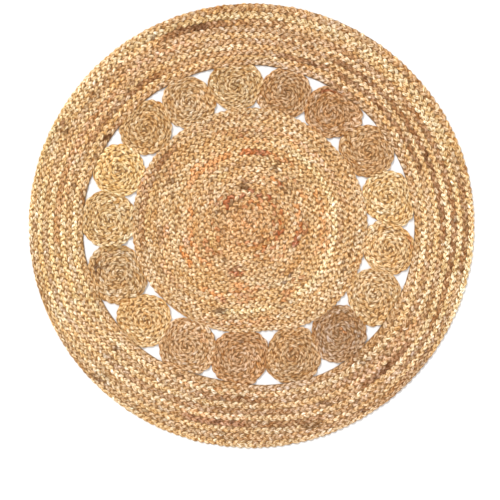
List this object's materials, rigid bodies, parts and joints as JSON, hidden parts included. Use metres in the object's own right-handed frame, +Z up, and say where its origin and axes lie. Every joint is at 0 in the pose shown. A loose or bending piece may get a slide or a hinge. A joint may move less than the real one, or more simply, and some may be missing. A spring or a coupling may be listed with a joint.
{
  "type": "round braided jute rug",
  "caption": "Flat round jute rug of coiled plait: a centre disc, a ring of small coiled medallions with open gaps between them, and a wide coiled border.",
  "frame": {"origin": "on the floor plane, under the middle of the rug's outer circle", "axes": "+Z up out of the rug's face, +X to the right and +Y to the top of the rug as it is seen from above"},
  "size_m": [0.8994, 0.8994, 0.008],
  "materials": {
    "jute_disc": "dry matt plaited jute, golden straw with rust runs",
    "jute_band": "dry matt plaited jute, light and brown turns by turns",
    "jute_light": "dry matt plaited jute, light straw",
    "jute_tan": "dry matt plaited jute, tan",
    "jute_brown": "dry matt plaited jute, brown"
  },
  "bodies": {
    "root": {"centre_disc": "jute_disc", "border_band": "jute_band", "medallion_01": "jute_light", "medallion_02": "jute_brown", "medallion_03": "jute_brown", "medallion_04": "jute_brown", "medallion_05": "jute_tan", "medallion_06": "jute_tan", "medallion_07": "jute_tan", "medallion_08": "jute_light", "medallion_09": "jute_light", "medallion_10": "jute_tan", "medallion_11": "jute_light", "medallion_12": "jute_tan", "medallion_13": "jute_brown", "medallion_14": "jute_tan", "medallion_15": "jute_brown", "medallion_16": "jute_light", "medallion_17": "jute_light"}
  },
  "joints": []
}
